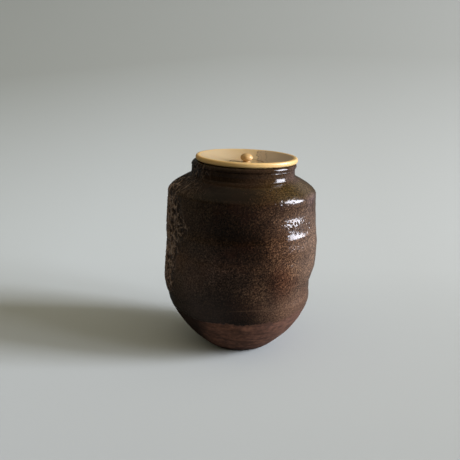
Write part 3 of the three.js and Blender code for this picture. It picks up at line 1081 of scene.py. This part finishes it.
def sheet():
    """Matt pale paper with painted light and shade, lighter at the left of the jar and darker towards
    the front and where it rises behind it, that throws back less light than it shows."""
    material, n, shader = new_material("studio_floor")
    split = n.add("ShaderNodeSeparateXYZ", {"Vector": n.millimetres()})
    across, away, up = (split.outputs[axis] for axis in "XYZ")

    def tone(shares, half):
        left, right = (tuple(c * share for c, share in zip(BACKDROP_COLOUR, side)) for side in shares)
        return n.blend(n.span(across, -half, half), left, right)

    leftwards = n.product(n.math("MINIMUM", across, 0.0), -BACKDROP_LEAN_SHARE)
    risen = n.span(n.math("ADD", up, leftwards), 0, BACKDROP_HEIGHT)
    colour = n.blend(risen, tone(FLOOR_SHARES, FLOOR_HALF), tone(BACKDROP_SHARES, BACKDROP_HALF))
    colour = n.blend(n.span(away, FRONT_REACH, -FRONT_REACH), colour, tone(FRONT_SHARES, FLOOR_HALF))
    path = n.add("ShaderNodeLightPath")
    seen = n.span(path.outputs["Is Camera Ray"], 0, 1, MIRROR_SHARE, 1)
    seen = n.math("MAXIMUM", seen, n.product(path.outputs["Is Diffuse Ray"], BOUNCE_SHARE))
    n.put(shader, {
        "Base Color": n.blend(seen, BLACK, colour),
        "Roughness": PAPER_ROUGHNESS,
        "Specular IOR Level": PAPER_SHINE,
    })
    return material


def finish_piece(piece, body, node, material):
    piece.data.materials.append(material)
    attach(piece, body)
    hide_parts(node)


def make_jar():
    finish_piece(jar(), "jar", "stoneware_body", iron_glaze())


def make_lid():
    """The lid's three pieces, placed together on the lip, which leans down to the right."""
    seat = Vector((LID_OFFSET, 0, LIP_TOP + LID_SEAT_GAP - drop(LID_OFFSET, LIP_TOP))) * MM
    up = Vector((math.sin(math.radians(TOP_TILT)), 0, math.cos(math.radians(TOP_TILT)))) * MM
    for name, profile, sides, rise, node, slot, material in (
        ("scooped_lid", lid_profile(), LID_SIDES, 0, "lid_disc", "ivory_resin", ivory_resin()),
        ("turned_knob", knob_profile(), KNOB_SIDES, dish_height(KNOB_SEAT_RADIUS) + GLUE_GAP,
         "lid_knob", "knob_resin", knob_resin()),
        ("gilded_lining", lining_profile(), LID_SIDES, -SPIGOT_DEPTH - GLUE_GAP,
         "gold_leaf_lining", "gold_leaf", gold_leaf()),
    ):
        piece = turned(name, profile, sides, TOP_TILT)
        piece.location = seat + up * rise
        finish_piece(piece, "lid", node, material)


def make_floor():
    """A pale floor that sweeps up into a backdrop behind the jar."""
    turn = np.radians(np.linspace(-90, 0, ARC_STEPS + 1))
    side = [(-FLOOR_REACH, 0), (0, 0)]
    side += [(SWEEP_START + SWEEP_RADIUS * math.cos(a), SWEEP_RADIUS * (1 + math.sin(a))) for a in turn]
    side += [(SWEEP_START + SWEEP_RADIUS, SWEEP_TOP)]
    points = [(x * MM, y * MM, z * MM) for y, z in side for x in (-FLOOR_REACH, FLOOR_REACH)]
    faces = [(2 * k, 2 * k + 1, 2 * k + 3, 2 * k + 2) for k in range(len(side) - 1)]
    mesh = bpy.data.meshes.new("studio_floor")
    mesh.from_pydata(points, [], faces)
    mesh.shade_smooth()
    floor = bpy.data.objects.new("studio_floor", mesh)
    bpy.context.scene.collection.objects.link(floor)
    floor.data.materials.append(sheet())


def make_camera():
    """The photograph's camera: it looks down at the jar, a little askew."""
    pitch, roll = math.radians(CAMERA_PITCH), math.radians(CAMERA_ROLL)
    right = Vector((1, 0, 0))
    up = Vector((0, math.sin(pitch), math.cos(pitch)))
    ahead = Vector((0, math.cos(pitch), -math.sin(pitch)))
    c, s = math.cos(roll), math.sin(roll)
    right, up = c * right + s * up, c * up - s * right
    half = PICTURE_PIXELS / 2
    ahead -= right * ((AXIS_PIXEL[0] - half) / FOCAL_PIXELS)
    ahead -= up * ((half - AXIS_PIXEL[1]) / FOCAL_PIXELS)
    ahead.normalize()
    right = ahead.cross(up).normalized()
    up = right.cross(ahead)
    data = bpy.data.cameras.new("camera")
    data.sensor_fit = "HORIZONTAL"
    data.sensor_width = SENSOR
    data.lens = FOCAL_PIXELS / PICTURE_PIXELS * SENSOR
    camera = bpy.data.objects.new("camera", data)
    turn = Matrix((right, up, -ahead)).transposed().to_4x4()
    camera.matrix_world = Matrix.Translation(Vector((0, -CAMERA_BACK, CAMERA_HEIGHT)) * MM) @ turn
    bpy.context.scene.collection.objects.link(camera)
    bpy.context.scene.camera = camera


def make_window(name, azimuth, width, edges, radiance, mirrored):
    """An upright window facing the jar, that either lights it or is only mirrored in the glaze."""
    turn = math.radians(azimuth)
    low, high = (WINDOW_DISTANCE * math.tan(math.radians(edge)) for edge in edges)
    middle = (low + high) / 2
    place = Vector((math.sin(turn) * WINDOW_DISTANCE, -math.cos(turn) * WINDOW_DISTANCE, middle)) * MM
    data = bpy.data.lights.new(name, "AREA")
    data.shape = "RECTANGLE"
    data.size = width * MM
    data.size_y = (high - low) * MM
    data.color = WINDOW_COLOUR
    data.energy = radiance * data.size * data.size_y * math.pi
    window = bpy.data.objects.new(name, data)
    window.location = place
    window.rotation_euler = Vector((place.x, place.y, 0)).to_track_quat("Z", "Y").to_euler()
    window.visible_camera = False
    window.visible_diffuse = not mirrored
    window.visible_glossy = mirrored
    bpy.context.scene.collection.objects.link(window)


def make_room():
    """A dim warm room, lighter overhead; the camera sees it in the backdrop's grey."""
    world = bpy.data.worlds.new("room")
    bpy.context.scene.world = world
    world.use_nodes = True
    world.node_tree.nodes.clear()
    n = Nodes(world.node_tree)
    toward = n.add("ShaderNodeTexCoord").outputs["Generated"]
    height = n.add("ShaderNodeSeparateXYZ", {"Vector": toward}).outputs["Z"]
    light = n.blend(n.span(height, 0, ROOM_HIGH_SHARE), ROOM_LOW_COLOUR, ROOM_HIGH_COLOUR)
    path = n.add("ShaderNodeLightPath")
    unmirrored = n.product(path.outputs["Is Glossy Ray"], 1 - ROOM_MIRROR_SHARE)
    light = n.blend(unmirrored, light, BLACK)
    colour = n.blend(path.outputs["Is Camera Ray"], light, BACKDROP_COLOUR)
    background = n.add("ShaderNodeBackground", {"Color": colour})
    n.add("ShaderNodeOutputWorld", {"Surface": background.outputs[0]})


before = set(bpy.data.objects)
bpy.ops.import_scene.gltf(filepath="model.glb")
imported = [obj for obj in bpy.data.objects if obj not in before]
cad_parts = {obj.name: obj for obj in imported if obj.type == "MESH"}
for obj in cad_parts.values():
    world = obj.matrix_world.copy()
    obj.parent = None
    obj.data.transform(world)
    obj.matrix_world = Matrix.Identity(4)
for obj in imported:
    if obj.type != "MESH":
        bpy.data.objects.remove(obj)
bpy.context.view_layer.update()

make_camera()
make_jar()
make_lid()
make_floor()
for name, window in WINDOWS.items():
    make_window(name, *window)
make_room()
bpy.context.scene.view_settings.view_transform = "Standard"
